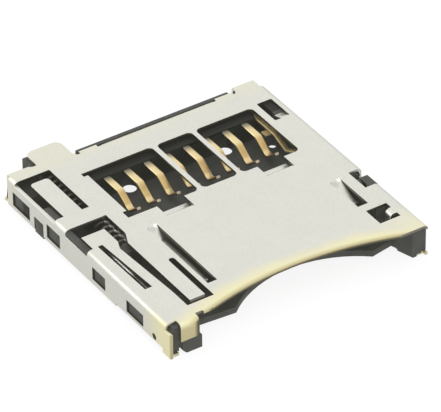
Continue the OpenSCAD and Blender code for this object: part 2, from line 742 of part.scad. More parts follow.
module housing() {
    color("dimgray")
        difference() {
            union() {
                // Floor with a shallow step in front of the contact block
                block([-housing_x, housing_x], [-floor_front, floor_step_y], [floor_lift, floor_z]);
                block([-housing_x, housing_x], [floor_step_y - lap, housing_rear],
                    [floor_lift, floor_z - floor_step]);
                // Left wall beside the slider
                block([-housing_x, lane_x], [pin_pivot[1], lane_end_y], [floor_lift, wall_top]);
                block([-housing_x, lane_x], [lane_end_y - lap, housing_rear], [floor_lift, left_rear_z]);
                block([lane_x - lap, -half_w + u_tongue_x[1]], [lane_end_y, housing_rear],
                    [floor_lift, left_rear_z + lap]);
                // Lane of the slider
                block([lane_x - lap, slider_x1 + slider_gap], [slider_y[1], lane_end_y],
                    [floor_lift, lane_z]);
                // Wall heads that show in the slots over the side bends
                block([-half_w + wall_head_in, -half_w + u_tongue_x[0] - side_gap],
                    [u_slot_y[0] + side_gap, wall_head_y], [wall_top - lap, ceil_z]);
                block([-housing_x, -half_w + bend_notch_in - side_gap],
                    [bend_notch_y + side_gap, cross_slot_y[1] - side_gap], [wall_top - lap, ceil_z]);
                block([-boss_x, -half_w + bend_notch_in - side_gap],
                    [bend_notch_y + side_gap, cross_slot_y[1] - side_gap],
                    [wall_top + side_gap, socket_h - lap]);
                block([half_w - edge_slot_wall + side_gap, boss_x],
                    [edge_slot_y[0] + side_gap, edge_head_y], [wall_notch_z + side_gap, socket_h - lap]);
                // Rib between the spring and the card
                block(rib_x, [rib_front_y, housing_rear], [floor_lift, ceil_z]);
                // Spring house behind the rear edge
                block(spring_house_x, [rear_edge - spring_house_in, spring_house_y], [floor_lift, ceil_z]);
                // Contact block and the rib behind the rear fold
                block([rib_x[0], block_right], [block_step_y, rear_edge - cover_t - side_gap],
                    [floor_lift, ceil_z]);
                block([rib_x[0], block_right], [block_front, block_step_y + lap],
                    [floor_lift, block_step_z]);
                block([rib_x[0], block_right], [block_step_y, housing_rear],
                    [floor_lift, flange_foot_z - side_gap]);
                block(rear_rib_x, [rear_edge + side_gap, housing_rear],
                    [floor_lift, socket_h - rear_rib_low]);
                // Right side wall with its flared mouth
                translate([0, 0, floor_lift])
                    linear_extrude(ceil_z - floor_lift)
                        polygon([
                            [slot_x[1], -floor_front], [slot_x[1], housing_rear],
                            [seat_x, housing_rear], [seat_x, -post_front],
                            [slot_x[1] + mouth_flare_right, -post_front]
                        ]);
                linear_extrude(mouth_foot_z)
                    polygon([
                        [slot_x[1] + 0.12, -floor_front - 0.3], [foot_room_x, -floor_front - 0.3],
                        [foot_room_x, -post_front], [slot_x[1] + mouth_flare_right, -post_front]
                    ]);
                block([seat_x - 2 * lap, housing_x], [foot_y[1], housing_rear], [floor_lift, wall_top]);
                block([seat_x - 2 * lap, boss_x], [-post_front, foot_y[1] - side_gap],
                    [cover_t + side_gap, wall_top]);
                // Left front post and the foot under the front fold
                translate([0, 0, floor_lift])
                    linear_extrude(ceil_z - floor_lift)
                        polygon([
                            [slot_x[0], post_rear], [-seat_x, post_rear],
                            [-seat_x, -tab_face + cover_t + side_gap],
                            [slot_x[0] - mouth_flare, -tab_face + cover_t + side_gap],
                            [slot_x[0], -floor_front]
                        ]);
                block([-housing_x, -seat_x + 2 * lap], [-tab_face + cover_t + side_gap, post_rear],
                    [cover_t + side_gap, wall_top]);
                block([tab_x[0] + lap, slot_x[0] - 0.03], [-tab_face, -tab_face + tab_foot_len],
                    [0, tab_foot_z - side_gap]);
                // Bosses that lie flush in the side wall openings
                for (s = [-1, 1]) {
                    for (q = wall_windows)
                        block(s * [housing_x - lap, boss_x], [q[0] - side_gap, q[1] + side_gap],
                            [q[2] + side_gap, q[3] - side_gap]);
                    block(s * [housing_x - lap, boss_x], [wall_gate[0] - side_gap, wall_gate[1] + side_gap],
                        [0, wall_gate[2] - side_gap]);
                }
            }
            // Finger cut-out
            translate([thumb_x, -floor_front + thumb_depth - thumb_r, -past])
                cylinder(r = thumb_r, h = floor_z + 2 * past, $fn = 120);
            // Tooling holes
            for (p = tool_holes)
                translate([p[0], p[1], -past]) {
                    cylinder(r = tool_hole_r, h = floor_z + 2 * past);
                    cylinder(r = tool_hole_r + tool_hole_step, h = floor_z - tool_web + past);
                }
            // Lane of the slider
            block([lane_x, slider_x1 + slider_gap], [slider_y[1], slider_y[0] + stroke],
                [lane_z, lane_z + slider_h]);
            // Spring bed
            block([spring_x - coil_r - spring_room, rib_x[0]], [floor_step_y, spring_rear_y],
                [floor_z - floor_step, socket_h]);
            // Room over the pivot and the pivot hole of the cam pin
            block([pin_x - pin_bay, pin_x + pin_bay], [pin_pivot[1] - pin_bay, slider_y[1]],
                [pin_z - pin_d / 2 - slider_gap, socket_h]);
            translate([pin_x, pin_pivot[1], pin_z - pin_leg - slider_gap])
                cylinder(d = groove_w, h = socket_h);
            // Beds of the contacts and of the switch
            for (i = [0 : contact_n - 1])
                across(contact_x(i) - bed_w / 2, contact_x(i) + bed_w / 2)
                    strip(contact_line(), contact_t);
            across(arm_x - arm_w / 2 - contact_gap, arm_x + arm_w / 2 + contact_gap)
                strip(arm_line(), contact_t);
            translate([0, blade_y[1] + contact_gap, 0])
                rotate([90, 0, 0])
                    linear_extrude(blade_y[1] - blade_y[0] + 2 * contact_gap)
                        strip(blade_line(), blade_t);
            // Room for the folds, the tongue and the feet of the cover
            block(tab_x + [-side_gap, side_gap], [-front_edge - past, -tab_face + fold_room],
                [fold_low_z, socket_h]);
            block(flange_x + [-side_gap, side_gap], [rear_edge - fold_room, rear_edge],
                [fold_low_z, ceil_z + side_gap]);
            block(leg_b_x + [-side_gap, side_gap], [leg_face - fold_room, housing_rear + past],
                [fold_low_z, socket_h]);
            block([tongue_x[0] - side_gap, tongue_x[0] + tongue_x[1] + side_gap],
                [tongue_hole_y[0] - side_gap, tongue_hole_y[0] + tongue_len + side_gap],
                [ceil_z - tongue_drop - side_gap, socket_h]);
            block([-half_w, -half_w + foot_a_in + side_gap], foot_y + [-side_gap, side_gap],
                [-past, cover_t + side_gap]);
            block([half_w - foot_b_in - side_gap, half_w], foot_b_y + [-side_gap, side_gap],
                [-past, cover_t + side_gap]);
            // Pockets under the openings of the cover
            block([slot_x[1] - past, half_w - 0.85], [4.1, tongue_hole_y[1] + 0.12], [floor_z, socket_h]);
            block([half_w - edge_slot_in, half_w], [edge_head_y + side_gap, edge_slot_y[1]],
                [pocket_z, socket_h]);
            block([slot_x[1] - past, half_w - fold_hole_x[1] + lap],
                [fold_hole_y[0] - 2 * side_gap, fold_hole_y[1] + 2 * side_gap], [pocket_z, socket_h]);
            // Gap between the post and the foot at the left front corner
            block([tab_x[0], tab_x[0] + lap], [-front_edge, -front_edge + tab_foot_len],
                [-past, tab_foot_gap_z]);
            translate([tab_x[0] + lap, -front_edge, 0])
                rotate([0, 45, 0])
                    cube([tab_foot_notch, 2 * tab_foot_len, tab_foot_notch], center = true);
        }
}

// Outline of the heart groove seen from above
module heart_groove() {
    rest = pin_tip;
    pushed = pin_tip + [-pin_swing, -stroke];
    top = pushed + [0.1, 0];
    notch = pin_tip + [0, -stroke + 0.6];
    back = pin_tip + [pin_swing, -stroke + 0.1];
    lane(rest, pushed, groove_w);
    lane(pushed, top, groove_w);
    lane(top, notch, groove_w);
    lane(notch, back, groove_w);
    lane(back, pin_tip + [pin_swing, -1.5], groove_w);
    lane(pin_tip + [pin_swing, -1.5], rest, groove_w);
}

module slider() {
    color("#303030") {
        difference() {
            union() {
                block([slider_x0, slider_x1], slider_y, [slider_z0, slider_z1]);
                block([slider_x1 - lap, lug_x], lug_y, [lug_z, slider_z1]);
                block([slider_x1 - lap, seat_lug_x], [spring_front_y - seat_lug_t, spring_front_y],
                    [lug_z, slider_z1 + seat_lug_h]);
            }
            translate([0, 0, groove_z])
                linear_extrude(socket_h)
                    heart_groove();
        }
        translate([spring_x, spring_front_y - lap, spring_z])
            rotate([-90, 0, 0])
                cylinder(d = 2 * coil_r - wire_d - 2 * slider_gap, h = seat_stub);
    }
}

module cam_pin() {
    leg_z = pin_z - pin_bend_r;
    color("lightgray") {
        translate([pin_x, pin_pivot[1] + pin_bend_r, pin_z])
            rotate([-90, 0, 0])
                cylinder(d = pin_d, h = pin_len - 2 * pin_bend_r);
        translate([pin_x, pin_pivot[1] + pin_bend_r, leg_z])
            rotate([90, 0, -90])
                rotate_extrude(angle = 90)
                    translate([pin_bend_r, 0])
                        circle(pin_d / 2);
        translate([pin_tip[0], pin_tip[1] - pin_bend_r, leg_z])
            rotate([90, 0, 90])
                rotate_extrude(angle = 90)
                    translate([pin_bend_r, 0])
                        circle(pin_d / 2);
        translate([pin_x, pin_pivot[1], pin_z - pin_leg])
            cylinder(d = pin_d, h = pin_leg - pin_bend_r);
        translate([pin_tip[0], pin_tip[1], groove_z + slider_gap])
            cylinder(d = pin_d, h = leg_z - groove_z - slider_gap);
    }
}

// Half a turn of the coil that climbs by rise, with its wire turned by spin
module half_turn(rise, spin) {
    ring_r = sqrt(coil_r * coil_r + rise * rise / 4);
    translate([0, 0, rise / 2])
        rotate([0, asin(rise / (2 * ring_r)), 0])
            rotate_extrude(angle = 180)
                translate([ring_r, 0])
                    rotate(spin)
                        circle(wire_d / 2, $fn = 8);
}

module spring() {
    length = spring_rear_y - spring_front_y - wire_d;
    rise = length / coil_n / 2;
    tilt = atan(rise / (2 * coil_r));
    color("gainsboro")
        translate([spring_x, spring_front_y + wire_d / 2, spring_z])
            rotate([-90, 0, 0]) {
                rotate([0, 0, 180])
                    half_turn(0, -tilt);
                for (k = [0 : coil_n - 1])
                    translate([0, 0, 2 * k * rise]) {
                        half_turn(rise, 4 * k * tilt);
                        translate([0, 0, rise])
                            rotate([0, 0, 180])
                                half_turn(rise, (4 * k + 2) * tilt);
                    }
                translate([0, 0, length])
                    half_turn(0, (4 * coil_n - 1) * tilt);
            }
}

cover();
housing();
slider();
spring();
cam_pin();
contact(0);  // contact_1
contact(1);  // contact_2
contact(2);  // contact_3
contact(3);  // contact_4
contact(4);  // contact_5
contact(5);  // contact_6
contact(6);  // contact_7
contact(7);  // contact_8
detect_arm();
detect_blade();
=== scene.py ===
"""Looks of a push-push memory card socket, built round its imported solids."""
import json
import math

import bmesh
import bpy
from mathutils import Matrix, Vector
from mathutils.bvhtree import BVHTree

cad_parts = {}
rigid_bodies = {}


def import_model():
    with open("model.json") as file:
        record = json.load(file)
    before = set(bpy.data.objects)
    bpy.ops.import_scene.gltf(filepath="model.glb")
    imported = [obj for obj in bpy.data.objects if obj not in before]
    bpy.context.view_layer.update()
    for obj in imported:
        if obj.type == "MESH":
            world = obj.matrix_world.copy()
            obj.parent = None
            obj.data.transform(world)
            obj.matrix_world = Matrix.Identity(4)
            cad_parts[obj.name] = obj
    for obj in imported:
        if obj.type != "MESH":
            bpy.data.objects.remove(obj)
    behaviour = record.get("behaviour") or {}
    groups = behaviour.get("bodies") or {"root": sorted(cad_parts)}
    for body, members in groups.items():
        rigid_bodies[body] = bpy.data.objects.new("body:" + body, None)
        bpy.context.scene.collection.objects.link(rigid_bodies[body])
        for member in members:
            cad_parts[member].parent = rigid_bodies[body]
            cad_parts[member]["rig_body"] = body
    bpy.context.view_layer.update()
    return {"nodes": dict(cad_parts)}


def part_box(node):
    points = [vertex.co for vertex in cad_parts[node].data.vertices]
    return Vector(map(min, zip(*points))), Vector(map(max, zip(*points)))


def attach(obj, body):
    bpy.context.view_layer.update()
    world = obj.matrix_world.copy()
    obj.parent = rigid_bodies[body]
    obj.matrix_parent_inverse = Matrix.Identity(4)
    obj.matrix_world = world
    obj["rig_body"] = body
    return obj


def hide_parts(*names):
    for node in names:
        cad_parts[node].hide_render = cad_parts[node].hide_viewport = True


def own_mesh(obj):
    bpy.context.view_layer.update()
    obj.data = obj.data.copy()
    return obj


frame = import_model()

MM = 0.001

# Sizes shared with the solids, in millimetres

# Cover sheet
SOCKET_H = 1.7
HALF_W = 7.05
PLATE_T = 0.15
FRONT_EDGE = 6.87
REAR_EDGE = 6.97
FRONT_ARC_R = 17.0
FRONT_ARC_DEPTH = 0.92
FRONT_ARC_Y = FRONT_EDGE - FRONT_ARC_DEPTH + FRONT_ARC_R

# Left leaf, and the left side, right side and root of both leaves
LEAF_X = (3.29 - HALF_W, 3.79 - HALF_W)
LEAF_ROOT = 0.1
LEAF_END = -4.3
LEAF_LOW = 1.0
LEAF_DROP = 0.42
LEAF_BEND_R = 0.15
SOLID_LEAF_RUN = 3.4
LEAF_ROOTS = ((*LEAF_X, LEAF_ROOT), (HALF_W - 1.9, HALF_W - 1.34, -1.7))

# Moulding: bosses in the wall windows, floor, front lip of the floor, tooling hole
BOSS_X = HALF_W - 0.02
BOSS_WINDOWS = ((5.15, 6.65), (2.5, 3.65), (-1.4, -0.3), (-4.6, -3.2))
BOSS_LOW, BOSS_HIGH = 0.3, 1.15
FLOOR_TOP = 0.5
LIP_X = (-4.9, 5.3)
LIP_Y = (-5.6, -4.1)
SMALL_HOLE = (5.55, 3.73)
SOLID_HOLE_R = 0.34

# Contact springs: the lines give Y and Z
CONTACT_COUNT = 8
CONTACT_PITCH = 1.1
ROW_MIDDLE_X = 0.89
CONTACT_FIRST_X = ROW_MIDDLE_X - CONTACT_PITCH * (CONTACT_COUNT - 1) / 2
CONTACT_T = 0.12
CONTACT_W = 0.38
CONTACT_TIP_W = 0.2
TIP_LEN = 0.6
FOLD_R = 0.17
CONTACT_DEPTH = 0.4
CONTACT_Z = SOCKET_H - CONTACT_DEPTH
BOW_DEPTH = 0.52
BOW_Z = CONTACT_Z - BOW_DEPTH
TIP_RISE = 0.46
CONTACT_LINE = [(2.13, BOW_Z + TIP_RISE), (2.68, BOW_Z), (2.92, BOW_Z), (3.72, CONTACT_Z)]
RISER_Y = 6.36
CONTACT_TAIL_Y = 7.9

# Card switch: the arm's line gives Y and Z
ARM_X = 5.54
ARM_W = 0.3
ARM_LINE = [(1.7, CONTACT_Z - 0.02), (2.42, CONTACT_Z - 0.36), (3.45, CONTACT_Z)]
ARM_TAIL_Y = 7.2
BLADE_T = 0.1
BLADE_Y = (3.64, 4.06)
BLADE_GAP = 0.01
BLADE_Z = CONTACT_Z - CONTACT_T / 2 - BLADE_GAP - BLADE_T / 2
BLADE_TIP_X, BLADE_RISER_X, BLADE_TAIL_X = 5.1, 6.36, 6.8

# Cam pin and coil spring
PIN_D = 0.22
PIN_PIVOT = (-6.02, -5.0)
PIN_LEN = 4.95
PIN_BEND_R = 0.2
PIN_END_LIFT = 0.1
SPRING_X = -4.95
SPRING_REAR_Y = 7.5
COIL_R = 0.36
WIRE_D = 0.14
COIL_TURNS = 17

# Small forms that the dressed pieces add, in millimetres
SHEET_EDGE = 0.014
MOULDED_EDGE = 0.025
STRIP_EDGE = 0.42  # share of a strip's thickness
BOSS_SINK = 0.06
BOSS_GAP = 0.05
LIP_PUSH = 0.2
SMALL_HOLE_R = 0.2
LEAF_RUN = 0.7
# Ways from the root at which the leaf is cut across: its upper bend, its slope, its lower bend
LEAF_CUTS = (0.025, 0.05, 0.077, 0.3, 0.5, 0.706, 0.733, 0.758, 0.784)

# Margins of the places where the dressed pieces are changed, in millimetres
HOLE_MARGIN = 0.03
ROOT_MARGIN = 0.001
WINDOW_MARGIN = 0.1
WINDOW_LOW = 0.1
PLATE_SIDE_MARGIN = 0.25
PLATE_END_MARGIN = 0.1
CUT_NORMAL = 0.5  # a sheared face turns away from the sheet's own direction

# Distances in millimetres, and angles, for cleaning and rounding the meshes
CUT_DIST = 0.0005
SOLID_MERGE = 0.0002
EDGE_MERGE = 0.001
FLAT_ANGLE = math.radians(0.6)
CORNER_ANGLE = math.radians(40)
SHARP_ANGLE = math.radians(50)
EDGE_SEGMENTS = 2
SHORTEST_EDGE = 1.2  # shortest edge that is rounded, in edge widths
FARTHEST_CORNER = 1.5  # farthest that rounding may move a corner, in edge widths

# Counts of points round and along the swept pieces
BEND_POINTS = 6
SECTION_POINTS = 3
PIN_BEND_POINTS = 10
PIN_SIDES = 20
COIL_SIDES = 12
POINTS_PER_TURN = 22

# Two ways to map a span, and the span that holds most of a noise texture
RISE = (0.0, 1.0)
FALL = (1.0, 0.0)
NOISE_SPAN = (0.3, 0.7)

# Fades of the cover's plating and of its painted shade, in millimetres, and their strengths
BORDER_WANDER = 0.9
BORDER_SCALE = 0.45
FRONT_FADE = (0.1, 1.0)  # shares of the width of the front flash
REAR_FADE = (0.0, 1.0)  # shares of the width of the rear flash
REAR_STRENGTH = 0.2
TOE_Y = (REAR_EDGE + 0.2, REAR_EDGE + 0.5)
TOE_Z = (0.3, 0.7)
WALL_X = (-HALF_W + 0.05, -HALF_W + 0.2)
WALL_Y = (0.4 - FRONT_EDGE, 2.6 - FRONT_EDGE)
CORNER_X = (HALF_W - 2.4, HALF_W - 0.8)
CORNER_Y = (0.2 - FRONT_EDGE, 2.0 - FRONT_EDGE)
CORNER_STRENGTH = 0.6
RIM_FADE = (0.0, 0.26)
SHADE_FADE = (0.02, 0.1)
SHADE_Z = (SOCKET_H - 0.1, SOCKET_H)
SHADE_STRENGTH = (0.95, 0.1)
FRONT_FOLD_Y = (0.15 - FRONT_EDGE, 0.3 - FRONT_EDGE)
FRONT_FOLD_Z = (SOCKET_H - 0.4, SOCKET_H - 0.1)
FRONT_FOLD_X = (0.2 - HALF_W, 0.35 - HALF_W)
FRONT_FOLD_STRENGTH = 0.75
WALL_END_X = (-HALF_W + 0.15, -HALF_W + 0.2)
WALL_END_Y = (-FRONT_EDGE, 0.12 - FRONT_EDGE)
RIGHT_FOLD_X = (HALF_W - 0.28, HALF_W - 0.14)

# Colours of the cover
NICKEL_DARK, NICKEL_LIGHT = (0.535, 0.531, 0.479), (0.605, 0.600, 0.546)
# Painted shade on the rounding of the right fold
RIGHT_FOLD_PAINTED_SHADE = (0.47, 0.468, 0.43)
FLASH_YELLOW = (0.69, 0.65, 0.405)
# Deeper flash on the front fold and the left wall's front end, and painted shade where the plate's
# front edge rounds down
RIM_FLASH_AND_PAINTED_SHADE = (0.45, 0.385, 0.205)
# Painted shade on the cut face under the plate's front edge
SHADE_BROWN = (0.06, 0.054, 0.032)
WORN_NICKEL = (0.62, 0.61, 0.56)
SHEARED_GREY = (0.17, 0.16, 0.13)

# Painted shade (first) and painted highlight (second) at the root of a leaf: the side each is
# measured from (0 left, 1 right), the way from there in X and Y, the radii where it is full and
# where it ends, and the colour
LEAF_ROOT_PAINTED_LIGHT = ((0, 0.12, -0.2, (0.08, 0.3), (0.45, 0.448, 0.42)),
               (1, -0.09, -0.02, (0.05, 0.15), (0.92, 0.92, 0.89)))

# Coloured stretches: the axis, where each begins and is full, where it begins to end and ends,
# and the colour; places in millimetres

# Rubbed tip of a contact; its bow, worn by the card and with a painted highlight; a painted
# highlight on its run; a painted shade on its end in the comb
CONTACT_WEAR_AND_PAINTED_LIGHT = (("Y", (1.9, 2.0), (2.5, 2.8), (0.40, 0.34, 0.247)),
                 ("Y", (2.7, 2.85), (2.95, 3.1), (0.58, 0.46, 0.24)),
                 ("Y", (3.5, 3.85), (5.0, 5.1), (0.668, 0.543, 0.294)),
                 ("Y", (4.2, 5.05), (5.8, 6.0), (0.06, 0.065, 0.07)))
# Painted shade on the comb that holds the contacts
COMB_PAINTED_SHADE = (("Y", (4.65, 4.75), (5.8, 5.9), (0.014, 0.0135, 0.012)),)
# The stretch of the pin that the cover rubs
PIN_ZONES = (("Y", (-2.4, -1.9), (-0.9, -0.4), (0.62, 0.61, 0.58)),)
# Painted highlight on the right flank of the coil, and painted shade that keeps its lower half dull
COIL_PAINTED_HIGHLIGHT_AND_SHADE = (("X", (SPRING_X + 0.02, SPRING_X + 0.1), (SPRING_X + 0.3, SPRING_X + 0.38),
               (0.95, 0.92, 0.84)),
              ("Z", (-1.0, 0.0), (1.0, 1.15), (0.12, 0.117, 0.107)))


# Shader helpers

def new_material(name):
    mat = bpy.data.materials.new(name)
    mat.use_nodes = True
    return mat, mat.node_tree, mat.node_tree.nodes["Principled BSDF"]


def add_node(tree, kind, label=None, **values):
    node = tree.nodes.new(kind)
    if label:
        node.label = label
    for key, value in values.items():
        setattr(node, key, value)
    return node


def feed(tree, socket, value):
    """Links a socket to another one, or gives it a constant."""
    if isinstance(value, bpy.types.NodeSocket):
        tree.links.new(value, socket)
    else:
        socket.default_value = value


def add_math(tree, operation, *values, clamp=False):
    node = add_node(tree, "ShaderNodeMath", operation=operation, use_clamp=clamp)
    for socket, value in zip(node.inputs, values):
        feed(tree, socket, value)
    return node.outputs[0]


def add_product(tree, *values):
    """The product of two or more masks."""
    product = values[0]
    for value in values[1:]:
        product = add_math(tree, "MULTIPLY", product, value)
    return product


def add_highest(tree, *values):
    """The highest of two or more masks."""
    highest = values[0]
    for value in values[1:]:
        highest = add_math(tree, "MAXIMUM", highest, value)
    return highest


def add_mix(tree, factor, a, b):
    node = add_node(tree, "ShaderNodeMix", data_type="RGBA")
    tree.links.new(factor, node.inputs[0])
    for socket, value in ((node.inputs[6], a), (node.inputs[7], b)):
        feed(tree, socket, (*value, 1.0) if isinstance(value, tuple) else value)
    return node.outputs[2]


def add_range(tree, value, span, result, smooth=True):
    """Maps a span of values to two results, held at both ends."""
    node = add_node(tree, "ShaderNodeMapRange", clamp=True)
    node.interpolation_type = "SMOOTHSTEP" if smooth else "LINEAR"
    tree.links.new(value, node.inputs[0])
    for i, number in enumerate((*span, *result)):
        node.inputs[1 + i].default_value = number
    return node.outputs[0]


def add_noise(tree, label, place, scale, **values):
    node = add_node(tree, "ShaderNodeTexNoise", label)
    tree.links.new(place, node.inputs["Vector"])
    feed(tree, node.inputs["Scale"], scale)
    for name, value in values.items():
        node.inputs[name].default_value = value
    return node.outputs[0]


def own_place(tree):
    """A piece's own coordinates, in metres."""
    return add_node(tree, "ShaderNodeTexCoord").outputs["Object"]


def in_mm(tree, place):
    node = add_node(tree, "ShaderNodeVectorMath", operation="SCALE")
    node.inputs["Scale"].default_value = 1.0 / MM
    tree.links.new(place, node.inputs[0])
    return node.outputs[0]


def in_metres(pair):
    return tuple(value * MM for value in pair)


def split_axes(tree, place):
    node = add_node(tree, "ShaderNodeSeparateXYZ")
    tree.links.new(place, node.inputs[0])
    return node.outputs


def new_group(name, inputs, outputs):
    tree = bpy.data.node_groups.new(name, "ShaderNodeTree")
    for label, kind, default in inputs:
        socket = tree.interface.new_socket(label, in_out="INPUT", socket_type=kind)
        if default is not None:
            socket.default_value = default
    for label in outputs:
        tree.interface.new_socket(label, in_out="OUTPUT", socket_type="NodeSocketFloat")
    return tree, tree.nodes.new("NodeGroupInput"), tree.nodes.new("NodeGroupOutput")


def use_group(tree, group, **values):
    node = add_node(tree, "ShaderNodeGroup", node_tree=group)
    for label, value in values.items():
        feed(tree, node.inputs[label.replace("_", " ")], value)
    return node


def make_grain_group():
    """Surface grain from the piece's own coordinates: a slow mottle and a fine height."""
    tree, enter, leave = new_group(
        "surface_grain",
        [("Place", "NodeSocketVector", None),
         ("Stretch", "NodeSocketVector", (1.0, 1.0, 1.0)),
         ("Mottle Scale", "NodeSocketFloat", 1.2),
         ("Grain Scale", "NodeSocketFloat", 30.0)],
        ["Mottle", "Grain"])
    place = in_mm(tree, enter.outputs["Place"])
    drawn = add_node(tree, "ShaderNodeVectorMath", operation="MULTIPLY")
    tree.links.new(place, drawn.inputs[0])
    tree.links.new(enter.outputs["Stretch"], drawn.inputs[1])
    mottle = add_noise(tree, "slow mottle", place, enter.outputs["Mottle Scale"], Detail=3.0)
    grain = add_noise(tree, "fine grain", drawn.outputs[0], enter.outputs["Grain Scale"],
                      Detail=4.0, Roughness=0.65)
    tree.links.new(mottle, leave.inputs["Mottle"])
    tree.links.new(grain, leave.inputs["Grain"])
    return tree


def make_edge_group():
    """Rubbed edges: the rounded edge faces, broken up by a coarse noise."""
    wear_per_metre, wear_span, wear_strength = 2600.0, (0.35, 0.65), (0.35, 1.0)
    tree, enter, leave = new_group(
        "rubbed_edge",
        [("Place", "NodeSocketVector", None), ("Amount", "NodeSocketFloat", 0.5)],
        ["Mask"])
    edge = add_node(tree, "ShaderNodeAttribute", attribute_name="edge_face")
    noise = add_noise(tree, "broken wear", enter.outputs["Place"], wear_per_metre, Detail=3.0)
    patchy = add_range(tree, noise, wear_span, wear_strength)
    mask = add_math(tree, "MULTIPLY", edge.outputs["Fac"], patchy)
    mask = add_math(tree, "MULTIPLY", mask, enter.outputs["Amount"], clamp=True)
    tree.links.new(mask, leave.inputs["Mask"])
    return tree


def make_flash_group():
    """Plating of the cover sheet: its warm flash, deeper flash and painted shade at its front edge,
    painted shade on the cut face under it.
    """
    tree, enter, leave = new_group(
        "plating_flash",
        [("Place", "NodeSocketVector", None),
         ("Front Width", "NodeSocketFloat", 1.5),
         ("Rear Width", "NodeSocketFloat", 0.9)],
        ["Mask", "Rim Flash And Shade", "Shade"])
    place = in_mm(tree, enter.outputs["Place"])
    x, y, z = split_axes(tree, place)
    from_arc_y = add_math(tree, "ADD", y, FRONT_ARC_Y)
    square = add_math(tree, "ADD", add_product(tree, x, x),
                      add_product(tree, from_arc_y, from_arc_y))
    from_front = add_math(tree, "SUBTRACT", add_math(tree, "SQRT", square), FRONT_ARC_R)
    from_rear = add_math(tree, "SUBTRACT", REAR_EDGE, y)
    border = add_noise(tree, "uneven border", place, BORDER_SCALE, Detail=2.0)
    shift = add_math(tree, "MULTIPLY_ADD", border, BORDER_WANDER, -BORDER_WANDER / 2)
    front = add_math(tree, "DIVIDE", add_math(tree, "ADD", from_front, shift),
                     enter.outputs["Front Width"])
    rear = add_math(tree, "DIVIDE", add_math(tree, "ADD", from_rear, shift),
                    enter.outputs["Rear Width"])
    uneven_y = add_math(tree, "ADD", y, shift)
    mask = add_highest(
        tree,
        add_range(tree, front, FRONT_FADE, FALL),
        add_range(tree, rear, REAR_FADE, (REAR_STRENGTH, 0.0)),
        add_product(tree, add_range(tree, y, TOE_Y, RISE), add_range(tree, z, TOE_Z, FALL)),
        add_product(tree, add_range(tree, x, WALL_X, FALL),
                    add_range(tree, uneven_y, WALL_Y, FALL)),
        add_product(tree, add_range(tree, x, CORNER_X, RISE),
                    add_range(tree, y, CORNER_Y, (CORNER_STRENGTH, 0.0), smooth=False)))
    # Painted shade where the plate's front edge rounds down, with deeper flash on the front fold
    # and the left wall's front end
    rim_flash_and_shade = add_highest(
        tree,
        add_range(tree, from_front, RIM_FADE, FALL, smooth=False),
        add_product(tree, add_range(tree, y, FRONT_FOLD_Y, FALL),
                    add_range(tree, z, FRONT_FOLD_Z, FALL),
                    add_range(tree, x, FRONT_FOLD_X, (0.0, FRONT_FOLD_STRENGTH))),
        add_product(tree, add_range(tree, x, WALL_END_X, FALL),
                    add_range(tree, y, WALL_END_Y, FALL)))
    # Painted shade on the cut face under the plate's front edge
    shade = add_product(tree, add_range(tree, from_front, SHADE_FADE, FALL),
                        add_range(tree, z, SHADE_Z, SHADE_STRENGTH, smooth=False))
    for label, value in (("Mask", mask), ("Rim Flash And Shade", rim_flash_and_shade), ("Shade", shade)):
        tree.links.new(value, leave.inputs[label])
    return tree


GRAIN = make_grain_group()
RUBBED = make_edge_group()
FLASH = make_flash_group()


def add_leaf_root_painted_light(tree, place, colour):
    """Paints light at the root of each leaf: painted shade where it slopes down on the left, a
    painted highlight at its right corner.
    """
    for *sides, root in LEAF_ROOTS:
        for side, way_x, way_y, radii, mark in LEAF_ROOT_PAINTED_LIGHT:
            away = add_node(tree, "ShaderNodeVectorMath", operation="DISTANCE")
            tree.links.new(place, away.inputs[0])
            away.inputs[1].default_value = in_metres((sides[side] + way_x, root + way_y, SOCKET_H))
            mask = add_range(tree, away.outputs["Value"], in_metres(radii), FALL)
            colour = add_mix(tree, mask, colour, mark)
    return colour


def add_zones(tree, place, colour, zones):
    """Colours stretches along an axis, each with a place to fade in and one to fade out."""
    axes = split_axes(tree, place)
    for axis, fade_in, fade_out, zone_colour in zones:
        mask = add_product(tree, add_range(tree, axes[axis], in_metres(fade_in), RISE),
                           add_range(tree, axes[axis], in_metres(fade_out), FALL))
        colour = add_mix(tree, mask, colour, zone_colour)
    return colour


def end_material(tree, shader, colour, grain, rough, bump_strength, bump_mm):
    """Gives a shader its colour, and its roughness and bump from the fine grain."""
    tree.links.new(colour, shader.inputs["Base Color"])
    tree.links.new(add_range(tree, grain, NOISE_SPAN, rough, smooth=False),
                   shader.inputs["Roughness"])
    bump = add_node(tree, "ShaderNodeBump")
    bump.inputs["Strength"].default_value = bump_strength
    bump.inputs["Distance"].default_value = bump_mm * MM
    tree.links.new(grain, bump.inputs["Height"])
    tree.links.new(bump.outputs[0], shader.inputs["Normal"])


